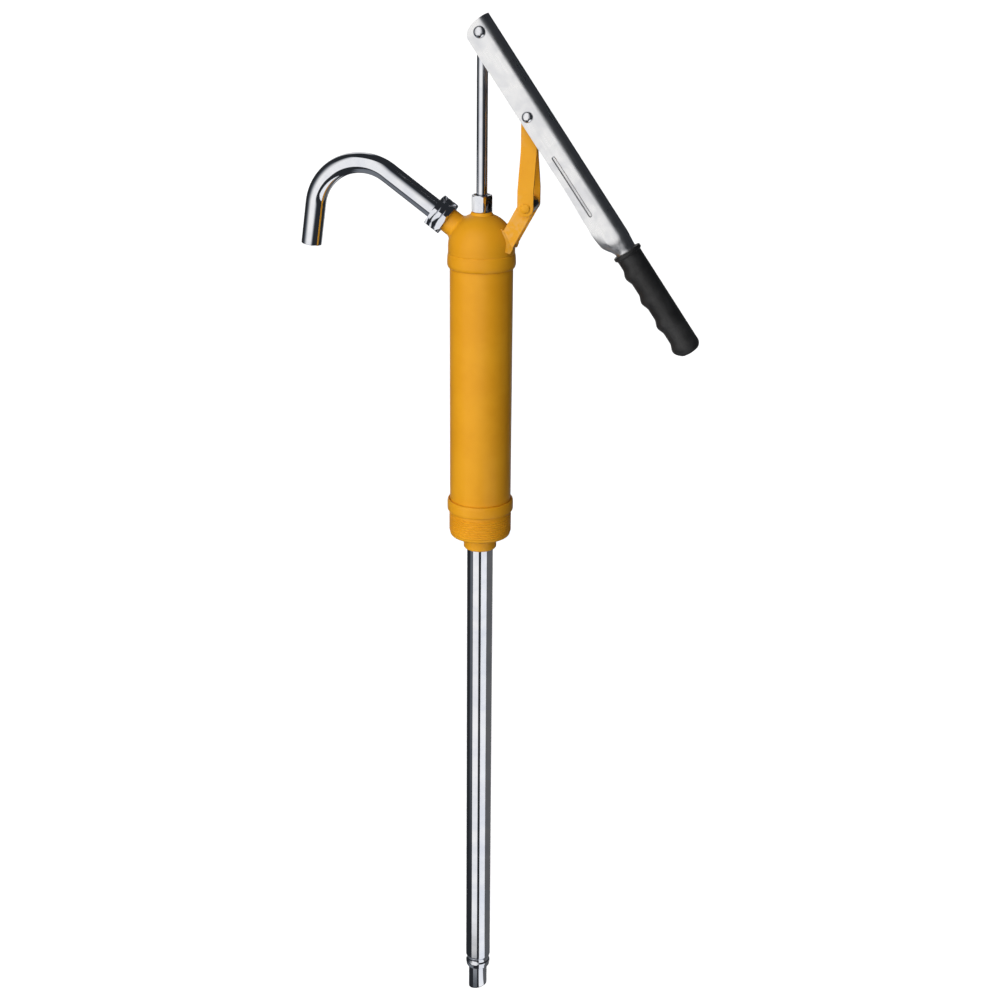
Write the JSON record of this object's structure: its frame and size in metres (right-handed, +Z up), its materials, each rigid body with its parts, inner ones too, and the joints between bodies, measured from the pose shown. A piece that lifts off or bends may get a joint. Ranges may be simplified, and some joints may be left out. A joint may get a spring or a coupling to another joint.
{
  "type": "drum transfer pump",
  "caption": "Lever-action drum pump with a painted barrel, domed head, hooked swivel spout, floating-link handle and telescopic suction tube.",
  "frame": {"origin": "on the pump's axis, in the plane where the bung flange seats on the drum", "axes": "+Z up along the pump's axis, spout towards -X, lever towards +X, front at -Y"},
  "size_m": [0.3752, 0.0634, 1.0115],
  "materials": {
    "paint": "semi-gloss amber enamel with slight orange peel",
    "chrome": "bright chrome plating",
    "steel": "bright zinc-plated steel",
    "brass": "turned brass",
    "rubber": "matte black rubber",
    "leather": "oiled cup leather",
    "nylon": "natural nylon"
  },
  "bodies": {
    "barrel": {"head_dome": "paint", "barrel_tube": "paint", "head_gasket": "rubber", "barrel_foot_gasket": "rubber", "bung_adapter": "paint", "bracket_ear_front": "paint", "bracket_ear_rear": "paint", "gland_nut": "chrome", "gland_packing": "rubber", "rod_guide_bush": "brass", "union_nut": "chrome", "foot_valve_seat": "rubber", "foot_valve_cage": "steel", "suction_tube_outer": "chrome", "tube_guide_ring": "nylon"},
    "rod": {"piston_rod": "chrome", "rod_eye": "steel", "piston_valve_stop": "steel", "piston_valve_sleeve": "brass", "piston_plate": "steel", "piston_cup": "leather", "piston_backing_plate": "steel", "piston_lock_washer": "steel", "piston_nut": "steel"},
    "piston_valve": {"piston_valve_disc": "nylon"},
    "lever": {"lever_channel": "steel", "lever_grip": "rubber", "rod_pin": "chrome", "rod_pin_spacer_front": "steel", "rod_pin_spacer_rear": "steel", "fulcrum_rivet_front": "chrome", "fulcrum_rivet_rear": "chrome"},
    "link": {"link_strap_front": "paint", "link_strap_rear": "paint", "link_upper_washer": "steel", "fulcrum_spacer_front": "steel", "fulcrum_spacer_rear": "steel", "fulcrum_pin": "steel", "bracket_rivet": "paint", "bracket_spacer": "steel"},
    "spout": {"spout_tube": "chrome", "spout_ferrule": "steel", "union_gasket": "rubber"},
    "foot_valve": {"foot_valve_disc": "brass"},
    "suction_inner": {"suction_tube_inner": "chrome", "inner_tube_stop": "nylon"}
  },
  "joints": [
    {"name": "lever_swing", "type": "hinge", "parent": "rod", "child": "lever", "pos_m": [0, 0, 0.4463], "axis": [0, -1, 0], "range_deg": [0, 80.57]},
    {"name": "rod_slide", "type": "slide", "parent": "barrel", "child": "rod", "axis": [0, 0, -1], "range_m": [0, 0.11]},
    {"name": "link_swing", "type": "hinge", "parent": "barrel", "child": "link", "pos_m": [0.0435, 0, 0.2954], "axis": [0, 1, 0], "range_deg": [0, 25.14]},
    {"name": "piston_valve_lift", "type": "slide", "parent": "rod", "child": "piston_valve", "axis": [0, 0, 1], "range_m": [0, 0.004]},
    {"name": "spout_swivel", "type": "hinge", "parent": "barrel", "child": "spout", "pos_m": [0, 0, 0.256], "axis": [-0.8141, 0, 0.5807], "continuous": true},
    {"name": "foot_valve_lift", "type": "slide", "parent": "barrel", "child": "foot_valve", "axis": [0, 0, 1], "range_m": [0, 0.004]},
    {"name": "suction_tube_slide", "type": "slide", "parent": "barrel", "child": "suction_inner", "axis": [0, 0, -1], "range_m": [0, 0.36]}
  ],
  "couplings": [
    {"joint": "rod_slide", "follows": "lever_swing", "m_per_rad": 0.07822},
    {"joint": "link_swing", "follows": "lever_swing", "ratio": 0.312}
  ]
}
